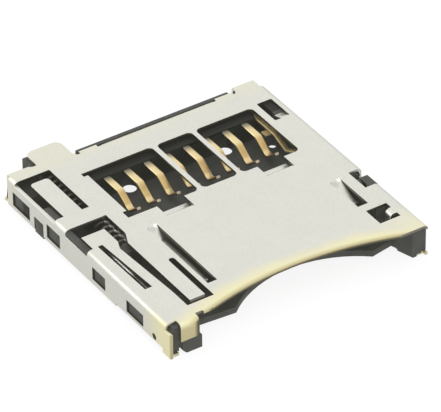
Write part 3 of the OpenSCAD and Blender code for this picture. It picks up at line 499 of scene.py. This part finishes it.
def make_cover_metal():
    mottle_strength, speckle_strength = 0.2, 0.8
    mat, tree, shader = new_material("cover_satin_nickel")
    shader.inputs["Metallic"].default_value = 1.0
    place = own_place(tree)
    grain = use_group(tree, GRAIN, Place=place, Stretch=(1.0, 0.25, 1.0),
                      Mottle_Scale=0.8, Grain_Scale=22.0).outputs
    flash = use_group(tree, FLASH, Place=place, Front_Width=1.1, Rear_Width=1.0).outputs
    rubbed = use_group(tree, RUBBED, Place=place, Amount=0.3).outputs
    mottle = add_range(tree, grain["Mottle"], NOISE_SPAN, (0.0, mottle_strength))
    speckle = add_range(tree, grain["Grain"], NOISE_SPAN, (0.0, speckle_strength))
    colour = add_mix(tree, add_math(tree, "ADD", mottle, speckle), NICKEL_DARK, NICKEL_LIGHT)
    # Painted shade and painted highlight at the root of each leaf
    colour = add_leaf_root_painted_light(tree, place, colour)
    # Painted shade on the rounding of the right fold
    right_fold_shade = add_range(tree, split_axes(tree, place)["X"], in_metres(RIGHT_FOLD_X), RISE)
    cut = add_node(tree, "ShaderNodeAttribute", attribute_name="cut_face").outputs["Fac"]
    # The front edge layer is deeper flash with painted shade; the Shade layer is painted shade on
    # the cut face
    for mask, layer in ((right_fold_shade, RIGHT_FOLD_PAINTED_SHADE), (flash["Mask"], FLASH_YELLOW),
                        (flash["Rim Flash And Shade"], RIM_FLASH_AND_PAINTED_SHADE), (flash["Shade"], SHADE_BROWN),
                        (rubbed["Mask"], WORN_NICKEL), (cut, SHEARED_GREY)):
        colour = add_mix(tree, mask, colour, layer)
    end_material(tree, shader, colour, grain["Grain"], rough=(0.30, 0.44),
                 bump_strength=0.12, bump_mm=0.004)
    return mat


def make_plastic(name, dark, light, edge, rough, zones=()):
    mat, tree, shader = new_material(name)
    shader.inputs["Specular IOR Level"].default_value = 0.12
    place = own_place(tree)
    grain = use_group(tree, GRAIN, Place=place, Mottle_Scale=1.6, Grain_Scale=26.0).outputs
    rubbed = use_group(tree, RUBBED, Place=place, Amount=0.7).outputs
    body = add_mix(tree, add_range(tree, grain["Mottle"], NOISE_SPAN, RISE), dark, light)
    worn = add_mix(tree, rubbed["Mask"], body, edge)
    end_material(tree, shader, add_zones(tree, place, worn, zones), grain["Grain"], rough,
                 bump_strength=0.3, bump_mm=0.008)
    return mat


def make_plated(name, pale, deep, stretch, rough, zones=()):
    mat, tree, shader = new_material(name)
    shader.inputs["Metallic"].default_value = 1.0
    place = own_place(tree)
    grain = use_group(tree, GRAIN, Place=place, Stretch=stretch,
                      Mottle_Scale=2.2, Grain_Scale=34.0).outputs
    body = add_mix(tree, add_range(tree, grain["Mottle"], NOISE_SPAN, RISE), deep, pale)
    end_material(tree, shader, add_zones(tree, place, body, zones), grain["Grain"], rough,
                 bump_strength=0.06, bump_mm=0.003)
    return mat


COVER_METAL = make_cover_metal()
# The moulding carries a painted shade on the comb
BLACK_MOULDING = make_plastic(
    "black_moulding", dark=(0.043, 0.043, 0.040), light=(0.056, 0.0565, 0.053),
    edge=(0.085, 0.085, 0.08), rough=(0.5, 0.68), zones=COMB_PAINTED_SHADE)
SLIDER_MOULDING = make_plastic(
    "slider_moulding", dark=(0.04, 0.039, 0.036), light=(0.052, 0.051, 0.047),
    edge=(0.07, 0.07, 0.068), rough=(0.4, 0.55))
# The contacts carry a painted highlight on the bow and run, and a painted shade at their end in the
# comb
GOLD_PLATE = make_plated(
    "contact_gold_plate", pale=(0.46, 0.33, 0.145), deep=(0.40, 0.28, 0.115),
    stretch=(1.0, 0.12, 1.0), rough=(0.26, 0.34), zones=CONTACT_WEAR_AND_PAINTED_LIGHT)
SWITCH_BRASS = make_plated(
    "switch_brass", pale=(0.5, 0.4, 0.205), deep=(0.38, 0.29, 0.135),
    stretch=(1.0, 0.12, 1.0), rough=(0.52, 0.66))
# The coil carries a painted highlight on its right flank and painted shade on its lower half
DRAWN_STEEL = make_plated(
    "drawn_steel", pale=(0.16, 0.157, 0.145), deep=(0.11, 0.107, 0.098),
    stretch=(0.3, 1.0, 1.0), rough=(0.6, 0.75), zones=COIL_PAINTED_HIGHLIGHT_AND_SHADE)
PIN_STEEL = make_plated(
    "pin_steel", pale=(0.12, 0.118, 0.11), deep=(0.08, 0.078, 0.072),
    stretch=(1.0, 0.2, 1.0), rough=(0.4, 0.52), zones=PIN_ZONES)


# Pieces dressed from their solids

def is_cut_face(face):
    """Whether a face is a sheared wall of an opening in the cover's plate or side walls."""
    x, y, z = face.calc_center_median() / MM
    if HALF_W - PLATE_T < abs(x) < HALF_W and WINDOW_LOW < z < BOSS_HIGH:
        along_windows = (BOSS_WINDOWS[-1][0] - WINDOW_MARGIN < y
                         < BOSS_WINDOWS[0][1] + WINDOW_MARGIN)
        return along_windows and abs(face.normal.x) < CUT_NORMAL
    from_front = math.hypot(x, y + FRONT_ARC_Y) - FRONT_ARC_R
    inside = (abs(x) < HALF_W - PLATE_SIDE_MARGIN and y < REAR_EDGE - PLATE_END_MARGIN
              and from_front > PLATE_END_MARGIN)
    return inside and SOCKET_H - PLATE_T < z < SOCKET_H and abs(face.normal.z) < CUT_NORMAL


def sink_bosses(bm):
    """Sets the moulding's bosses back in the wall windows, with a thin gap at the rear of each."""
    for vert in bm.verts:
        x, y, z = vert.co / MM
        for front, rear in BOSS_WINDOWS:
            if abs(x) > BOSS_X - BOSS_SINK and front < y < rear and BOSS_LOW < z < BOSS_HIGH:
                vert.co.x -= math.copysign(BOSS_SINK * MM, x)
                vert.co.y -= BOSS_GAP * MM * (y > (front + rear) / 2)


def shape_moulding(bm):
    """The moulding's small forms: bosses, the small tooling hole, the front lip of the floor."""
    sink_bosses(bm)
    for vert in bm.verts:
        x, y, z = vert.co / MM
        if z > FLOOR_TOP:
            continue
        if LIP_X[0] < x < LIP_X[1] and LIP_Y[0] < y < LIP_Y[1]:
            vert.co.y -= LIP_PUSH * MM
        from_axis = Vector((x - SMALL_HOLE[0], y - SMALL_HOLE[1], 0.0))
        if abs(from_axis.length - SOLID_HOLE_R) < HOLE_MARGIN:
            vert.co += from_axis * (SMALL_HOLE_R / SOLID_HOLE_R - 1.0) * MM


def leaf_drop(way, run):
    """How far the left leaf lies under the plate at a way from its root, for a run of its slope."""
    slope = math.atan(LEAF_DROP / run)
    bend = LEAF_BEND_R * math.sin(slope)
    loss = LEAF_BEND_R * (1 - math.cos(slope))
    far = 2 * bend + (LEAF_DROP - 2 * loss) / math.tan(slope)
    if way < bend:
        return LEAF_BEND_R - math.sqrt(LEAF_BEND_R ** 2 - max(way, 0.0) ** 2)
    if way < far - bend:
        return loss + (way - bend) * math.tan(slope)
    return LEAF_DROP - LEAF_BEND_R + math.sqrt(LEAF_BEND_R ** 2 - max(far - way, 0.0) ** 2)


def steepen_leaf(bm):
    """Gives the left leaf of the cover a short steep root."""
    def on_leaf(vert):
        x, y, z = vert.co / MM
        return (LEAF_X[0] < x < LEAF_X[1] and LEAF_END < y < LEAF_ROOT + ROOT_MARGIN
                and z > LEAF_LOW)

    for way in LEAF_CUTS:
        verts = [v for v in bm.verts if on_leaf(v)]
        faces = [f for f in bm.faces if all(on_leaf(v) for v in f.verts)]
        edges = list({e for f in faces for e in f.edges})
        bmesh.ops.bisect_plane(bm, geom=verts + edges + faces, dist=CUT_DIST * MM,
                               plane_co=(0.0, (LEAF_ROOT - way) * MM, 0.0),
                               plane_no=(0.0, 1.0, 0.0))
    for vert in bm.verts:
        if on_leaf(vert):
            way = LEAF_ROOT - vert.co.y / MM
            vert.co.z += (leaf_drop(way, SOLID_LEAF_RUN) - leaf_drop(way, LEAF_RUN)) * MM


def round_edges(bm, width):
    """Rounds the sharp edges, marks the new faces, and sets back corners that fly off."""
    solid = BVHTree.FromBMesh(bm)
    mark = bm.faces.layers.float.new("edge_face")
    corners = [e for e in bm.edges if e.is_manifold and e.calc_face_angle(0) > CORNER_ANGLE
               and e.calc_length() > SHORTEST_EDGE * width]
    made = bmesh.ops.bevel(bm, geom=corners, offset=width, offset_type="OFFSET",
                           segments=EDGE_SEGMENTS, profile=0.5, affect="EDGES",
                           clamp_overlap=False)
    for face in made["faces"]:
        face[mark] = 1.0
    for corner in bm.verts:
        nearest, _, _, away = solid.find_nearest(corner.co)
        if away > FARTHEST_CORNER * width:
            corner.co = nearest
    bmesh.ops.remove_doubles(bm, verts=bm.verts, dist=EDGE_MERGE * MM)
    bmesh.ops.dissolve_degenerate(bm, dist=EDGE_MERGE * MM, edges=bm.edges)


def dress(node, name, edge_mm, material, reshape=None):
    """A copy of a solid with merged corners and rounded edges, which stands for it."""
    bm = bmesh.new()
    bm.from_mesh(frame["nodes"][node].data)
    bmesh.ops.remove_doubles(bm, verts=bm.verts, dist=SOLID_MERGE * MM)
    bmesh.ops.dissolve_limit(bm, angle_limit=FLAT_ANGLE, verts=bm.verts, edges=bm.edges,
                             use_dissolve_boundaries=False, delimit={"NORMAL"})
    if reshape:
        reshape(bm)
    round_edges(bm, edge_mm * MM)
    sheared = bm.faces.layers.float.new("cut_face")
    for face in bm.faces:
        face[sheared] = float(is_cut_face(face))
    mesh = bpy.data.meshes.new(name)
    bm.to_mesh(mesh)
    bm.free()
    mesh.shade_smooth()
    mesh.set_sharp_from_angle(angle=SHARP_ANGLE)
    mesh.materials.append(material)
    piece = add_object(name, mesh)
    even = piece.modifiers.new("even_normals", "WEIGHTED_NORMAL")
    even.keep_sharp = True
    piece = settle(piece)
    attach(piece, frame["nodes"][node]["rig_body"])
    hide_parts(node)


def add_object(name, data):
    piece = bpy.data.objects.new(name, data)
    bpy.context.scene.collection.objects.link(piece)
    return piece


def settle(piece):
    """Turns an object and its modifiers into a plain mesh object at the origin."""
    depsgraph = bpy.context.evaluated_depsgraph_get()
    mesh = bpy.data.meshes.new_from_object(piece.evaluated_get(depsgraph), depsgraph=depsgraph)
    name = piece.name
    bpy.data.objects.remove(piece)
    mesh.name = name
    return add_object(name, mesh)


# Pieces that follow a path, made by geometry nodes

def new_shape_tree(name, **inputs):
    """A geometry node tree whose inputs have the given names and kinds, and a finish."""
    tree = bpy.data.node_groups.new(name, "GeometryNodeTree")
    tree.interface.new_socket("Geometry", in_out="INPUT", socket_type="NodeSocketGeometry")
    for label, kind in (*inputs.items(), ("Finish", "Material")):
        tree.interface.new_socket(label.replace("_", " "), in_out="INPUT",
                                  socket_type="NodeSocket" + kind)
    tree.interface.new_socket("Geometry", in_out="OUTPUT", socket_type="NodeSocketGeometry")
    return tree, tree.nodes.new("NodeGroupInput").outputs, tree.nodes.new("NodeGroupOutput")


def add_fillet(tree, label, curve, radius, count):
    """Rounds the corners of a curve, each with a number of points."""
    node = add_node(tree, "GeometryNodeFilletCurve", label, mode="POLY")
    node.inputs["Count"].default_value = count
    node.inputs["Limit Radius"].default_value = True
    tree.links.new(curve, node.inputs["Curve"])
    tree.links.new(radius, node.inputs["Radius"])
    return node.outputs[0]


def add_circle(tree, radius, sides):
    node = add_node(tree, "GeometryNodeCurvePrimitiveCircle", "wire section")
    node.inputs["Resolution"].default_value = sides
    tree.links.new(radius, node.inputs["Radius"])
    return node.outputs[0]


def add_sweep(tree, curve, section):
    node = add_node(tree, "GeometryNodeCurveToMesh")
    node.inputs["Fill Caps"].default_value = True
    tree.links.new(curve, node.inputs["Curve"])
    tree.links.new(section, node.inputs["Profile Curve"])
    return node.outputs[0]


def end_shape_tree(tree, enter, leave, geometry):
    smooth = add_node(tree, "GeometryNodeSetShadeSmooth")
    real = add_node(tree, "GeometryNodeRealizeInstances")
    finish = add_node(tree, "GeometryNodeSetMaterial")
    tree.links.new(geometry, smooth.inputs["Geometry"])
    tree.links.new(smooth.outputs[0], real.inputs[0])
    tree.links.new(real.outputs[0], finish.inputs["Geometry"])
    tree.links.new(enter["Finish"], finish.inputs["Material"])
    tree.links.new(finish.outputs[0], leave.inputs[0])


def make_strip_tree():
    """A flat strip with rounded edges along the object's own bent line."""
    tree, enter, leave = new_shape_tree(
        "bent_strip", Strip_Width="Float", Strip_Thickness="Float", Tip_Width="Float",
        Tip_Length="Float", Edge_Radius="Float", Bend_Radius="Float", Across="Vector",
        Middle="Vector")
    link = tree.links.new
    bends = add_fillet(tree, "rounded bends", enter["Geometry"], enter["Bend Radius"], BEND_POINTS)
    normal = add_node(tree, "GeometryNodeSetCurveNormal", "width direction", mode="FREE")
    link(bends, normal.inputs["Curve"])
    link(enter["Across"], normal.inputs["Normal"])
    section = add_node(tree, "GeometryNodeCurvePrimitiveQuadrilateral", "strip section")
    link(enter["Strip Width"], section.inputs["Width"])
    link(enter["Strip Thickness"], section.inputs["Height"])
    soft = add_fillet(tree, "soft edges", section.outputs[0], enter["Edge Radius"], SECTION_POINTS)
    along = add_node(tree, "GeometryNodeStoreNamedAttribute", "way from the tip")
    along.inputs["Name"].default_value = "way_from_tip"
    link(normal.outputs[0], along.inputs["Geometry"])
    link(add_node(tree, "GeometryNodeSplineParameter").outputs["Length"], along.inputs["Value"])
    sweep = add_sweep(tree, along.outputs[0], soft)
    end_shape_tree(tree, enter, leave, taper_tip(tree, enter, sweep))
    return tree


def taper_tip(tree, enter, geometry):
    """Draws the strip in across its width, from the full width to the width of the tip."""
    link = tree.links.new
    way = add_node(tree, "GeometryNodeInputNamedAttribute")
    way.inputs["Name"].default_value = "way_from_tip"
    share = add_math(tree, "DIVIDE", way.outputs["Attribute"], enter["Tip Length"], clamp=True)
    narrow = add_math(tree, "DIVIDE", enter["Tip Width"], enter["Strip Width"])
    loss = add_product(tree, add_math(tree, "SUBTRACT", 1.0, narrow),
                       add_math(tree, "SUBTRACT", 1.0, share))
    offset = add_node(tree, "ShaderNodeVectorMath", operation="SUBTRACT")
    link(add_node(tree, "GeometryNodeInputPosition").outputs[0], offset.inputs[0])
    link(enter["Middle"], offset.inputs[1])
    aside = add_node(tree, "ShaderNodeVectorMath", operation="DOT_PRODUCT")
    link(offset.outputs[0], aside.inputs[0])
    link(enter["Across"], aside.inputs[1])
    draw_in = add_node(tree, "ShaderNodeVectorMath", operation="SCALE")
    link(enter["Across"], draw_in.inputs[0])
    link(add_product(tree, aside.outputs["Value"], loss, -1.0), draw_in.inputs["Scale"])
    tapered = add_node(tree, "GeometryNodeSetPosition")
    link(geometry, tapered.inputs["Geometry"])
    link(draw_in.outputs[0], tapered.inputs["Offset"])
    clean = add_node(tree, "GeometryNodeRemoveAttribute")
    clean.inputs["Name"].default_value = "way_from_tip"
    link(tapered.outputs[0], clean.inputs["Geometry"])
    return clean.outputs[0]


def make_wire_tree():
    """A round wire along the object's own bent line."""
    tree, enter, leave = new_shape_tree("bent_wire", Wire_Diameter="Float", Bend_Radius="Float")
    bends = add_fillet(tree, "rounded bends", enter["Geometry"], enter["Bend Radius"],
                       PIN_BEND_POINTS)
    section = add_circle(tree, add_math(tree, "MULTIPLY", enter["Wire Diameter"], 0.5), PIN_SIDES)
    end_shape_tree(tree, enter, leave, add_sweep(tree, bends, section))
    return tree


def make_coil_tree():
    """A compression coil along Y with a flat half turn at each end."""
    tree, enter, leave = new_shape_tree(
        "coil_spring", Coil_Radius="Float", Wire_Diameter="Float", Turns="Float",
        Length="Float", Middle="Vector")
    link = tree.links.new
    dense = add_node(tree, "GeometryNodeResampleCurve", mode="COUNT")
    dense.inputs["Count"].default_value = (COIL_TURNS + 1) * POINTS_PER_TURN + 1
    link(add_node(tree, "GeometryNodeCurvePrimitiveLine").outputs[0], dense.inputs["Curve"])
    factor = add_node(tree, "GeometryNodeSplineParameter").outputs["Factor"]
    turn = add_math(tree, "MULTIPLY", factor, add_math(tree, "ADD", enter["Turns"], 1.0))
    angle = add_math(tree, "MULTIPLY", turn, 2 * math.pi)
    share = add_math(tree, "DIVIDE", add_math(tree, "SUBTRACT", turn, 0.5), enter["Turns"],
                     clamp=True)
    run = add_math(tree, "SUBTRACT", enter["Length"], enter["Wire Diameter"])
    half_wire = add_math(tree, "MULTIPLY", enter["Wire Diameter"], 0.5)
    place = add_node(tree, "ShaderNodeCombineXYZ")
    link(add_product(tree, add_math(tree, "COSINE", angle), enter["Coil Radius"]),
         place.inputs["X"])
    link(add_math(tree, "MULTIPLY_ADD", share, run, half_wire), place.inputs["Y"])
    link(add_product(tree, add_math(tree, "SINE", angle), enter["Coil Radius"]),
         place.inputs["Z"])
    moved = add_node(tree, "ShaderNodeVectorMath", operation="ADD")
    link(place.outputs[0], moved.inputs[0])
    link(enter["Middle"], moved.inputs[1])
    coil = add_node(tree, "GeometryNodeSetPosition")
    link(dense.outputs[0], coil.inputs["Geometry"])
    link(moved.outputs[0], coil.inputs["Position"])
    sweep = add_sweep(tree, coil.outputs[0], add_circle(tree, half_wire, COIL_SIDES))
    end_shape_tree(tree, enter, leave, sweep)
    return tree


STRIP = make_strip_tree()
WIRE = make_wire_tree()
COIL = make_coil_tree()


def shape_piece(name, data, tree, values):
    """An object with a geometry node tree on it, turned into a plain mesh."""
    piece = add_object(name, data)
    modifier = piece.modifiers.new("shape", "NODES")
    modifier.node_group = tree
    for item in tree.interface.items_tree:
        if item.item_type == "SOCKET" and item.in_out == "INPUT" and item.name in values:
            modifier[item.identifier] = values[item.name]
    piece = settle(piece)
    piece.data.set_sharp_from_angle(angle=SHARP_ANGLE)
    return piece


def path_curve(name, points):
    """A bent line through points given in millimetres."""
    curve = bpy.data.curves.new(name, "CURVE")
    curve.dimensions = "3D"
    spline = curve.splines.new("POLY")
    spline.points.add(len(points) - 1)
    for target, point in zip(spline.points, points):
        target.co = (*in_metres(point), 1.0)
    return curve


def tail_points(end_y):
    """The riser and the solder tail that end a spring strip, in Y and Z."""
    return [(RISER_Y, CONTACT_Z), (RISER_Y, CONTACT_T / 2), (end_y, CONTACT_T / 2)]


def strip_piece(name, points, width, thickness, across, finish, node, tip=None):
    piece = shape_piece(name, path_curve(name + "_line", points), STRIP, {
        "Strip Width": width * MM, "Strip Thickness": thickness * MM,
        "Tip Width": (tip or width) * MM, "Tip Length": TIP_LEN * MM,
        "Edge Radius": STRIP_EDGE * thickness * MM, "Bend Radius": FOLD_R * MM,
        "Across": across, "Middle": in_metres(points[0]), "Finish": finish})
    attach(piece, "socket")
    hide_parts(node)


dress("cover", "cover_sheet", SHEET_EDGE, COVER_METAL, steepen_leaf)
dress("housing", "black_housing", MOULDED_EDGE, BLACK_MOULDING, shape_moulding)
dress("slider", "eject_slider", MOULDED_EDGE, SLIDER_MOULDING)

ALONG_X, ALONG_Y = (1.0, 0.0, 0.0), (0.0, 1.0, 0.0)
for i in range(CONTACT_COUNT):
    x = CONTACT_FIRST_X + CONTACT_PITCH * i
    line = [(x, y, z) for y, z in CONTACT_LINE + tail_points(CONTACT_TAIL_Y)]
    strip_piece(f"contact_spring_{i + 1}", line, CONTACT_W, CONTACT_T, ALONG_X, GOLD_PLATE,
                f"contact_{i + 1}", CONTACT_TIP_W)
line = [(ARM_X, y, z) for y, z in ARM_LINE + tail_points(ARM_TAIL_Y)]
strip_piece("switch_arm", line, ARM_W, CONTACT_T, ALONG_X, SWITCH_BRASS, "detect_arm")
blade_y = sum(BLADE_Y) / 2
line = [(BLADE_TIP_X, blade_y, BLADE_Z), (BLADE_RISER_X, blade_y, BLADE_Z),
        (BLADE_RISER_X, blade_y, BLADE_T / 2), (BLADE_TAIL_X, blade_y, BLADE_T / 2)]
strip_piece("switch_blade", line, BLADE_Y[1] - BLADE_Y[0], BLADE_T, ALONG_Y, SWITCH_BRASS,
            "detect_blade")

pin_low, pin_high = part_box("cam_pin")
pin_foot = pin_low.z / MM
pin_top = pin_high.z / MM - PIN_D / 2
pin_x, pin_front = PIN_PIVOT
pin_rear = pin_front + PIN_LEN
pin_line = path_curve("cam_wire_line", [
    (pin_x, pin_front, pin_foot), (pin_x, pin_front, pin_top),
    (pin_x, pin_rear, pin_top), (pin_x, pin_rear, pin_foot + PIN_END_LIFT)])
pin = shape_piece("cam_wire", pin_line, WIRE, {
    "Wire Diameter": PIN_D * MM, "Bend Radius": PIN_BEND_R * MM, "Finish": PIN_STEEL})
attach(pin, "cam_pin")
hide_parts("cam_pin")

coil_low, coil_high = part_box("spring")
coil_z = (coil_low.z + coil_high.z) / 2
coil = shape_piece("eject_coil", bpy.data.meshes.new("eject_coil_seed"), COIL, {
    "Coil Radius": COIL_R * MM, "Wire Diameter": WIRE_D * MM, "Turns": float(COIL_TURNS),
    "Length": SPRING_REAR_Y * MM, "Middle": (SPRING_X * MM, 0.0, coil_z), "Finish": DRAWN_STEEL})
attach(coil, "socket")
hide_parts("spring")
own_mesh(coil)


# Floor, light and camera

def add_floor():
    half, low = 1.5, -0.01 * MM
    mat, _, shader = new_material("pale_floor")
    shader.inputs["Base Color"].default_value = (0.1, 0.1, 0.1, 1.0)
    shader.inputs["Roughness"].default_value = 0.9
    shader.inputs["Emission Color"].default_value = (1.0, 1.0, 1.0, 1.0)
    shader.inputs["Emission Strength"].default_value = 0.87
    mesh = bpy.data.meshes.new("pale_floor")
    mesh.from_pydata([(-half, -half, low), (half, -half, low), (half, half, low),
                      (-half, half, low)], [], [(0, 1, 2, 3)])
    mesh.materials.append(mat)
    floor = add_object("pale_floor", mesh)


def add_room(brightness):
    """A white room that lights the socket evenly from all sides."""
    world = bpy.data.worlds.new("soft_room")
    world.use_nodes = True
    background = world.node_tree.nodes["Background"]
    background.inputs["Color"].default_value = (1.0, 1.0, 1.0, 1.0)
    background.inputs["Strength"].default_value = brightness
    bpy.context.scene.world = world


def add_panel(name, direction, distance, size, power):
    """A round light panel that faces the socket; sizes in metres, power in watts."""
    light = bpy.data.lights.new(name, "AREA")
    light.shape = "DISK"
    light.size = size
    light.energy = power
    panel = add_object(name, light)
    towards = Vector(direction).normalized()
    panel.location = towards * distance
    panel.rotation_mode = "QUATERNION"
    panel.rotation_quaternion = towards.to_track_quat("Z", "Y")


def add_camera():
    """A long lens to the front left, well above the board; degrees and millimetres."""
    azimuth, elevation, roll = (math.radians(a) for a in (-33.033, 36.444, -0.59))
    distance, focal_px, image_w = 224.273, 4835.558, 441
    aside_px, above_px = 2.675, 25.232
    back = Vector((math.sin(azimuth) * math.cos(elevation),
                   -math.cos(azimuth) * math.cos(elevation), math.sin(elevation)))
    level = Vector((math.cos(azimuth), math.sin(azimuth), 0.0))
    rise = back.cross(level)
    right = math.cos(roll) * level + math.sin(roll) * rise
    up = back.cross(right)
    px_mm = focal_px / distance
    camera = bpy.data.cameras.new("photo_view")
    camera.sensor_width = 36.0
    camera.lens = focal_px / image_w * camera.sensor_width
    camera.clip_start = 0.02
    holder = add_object("photo_view", camera)
    place = back * distance + right * (aside_px / px_mm) + up * (above_px / px_mm)
    turn = Matrix((right, up, back)).transposed().to_4x4()
    holder.matrix_world = Matrix.Translation(place * MM) @ turn
    bpy.context.scene.camera = holder


add_floor()
add_room(brightness=1.3)
add_panel("rear_left_panel", direction=(-0.6, 0.67, 0.5), distance=0.4, size=0.22, power=0.28)
add_panel("top_panel", direction=(-0.2, -0.25, 1.0), distance=0.5, size=0.4, power=0.2)
add_camera()
view = bpy.context.scene.view_settings
view.view_transform = "Standard"
view.use_curve_mapping = True
view.curve_mapping.black_level = (-0.02, -0.02, -0.016)
view.curve_mapping.update()
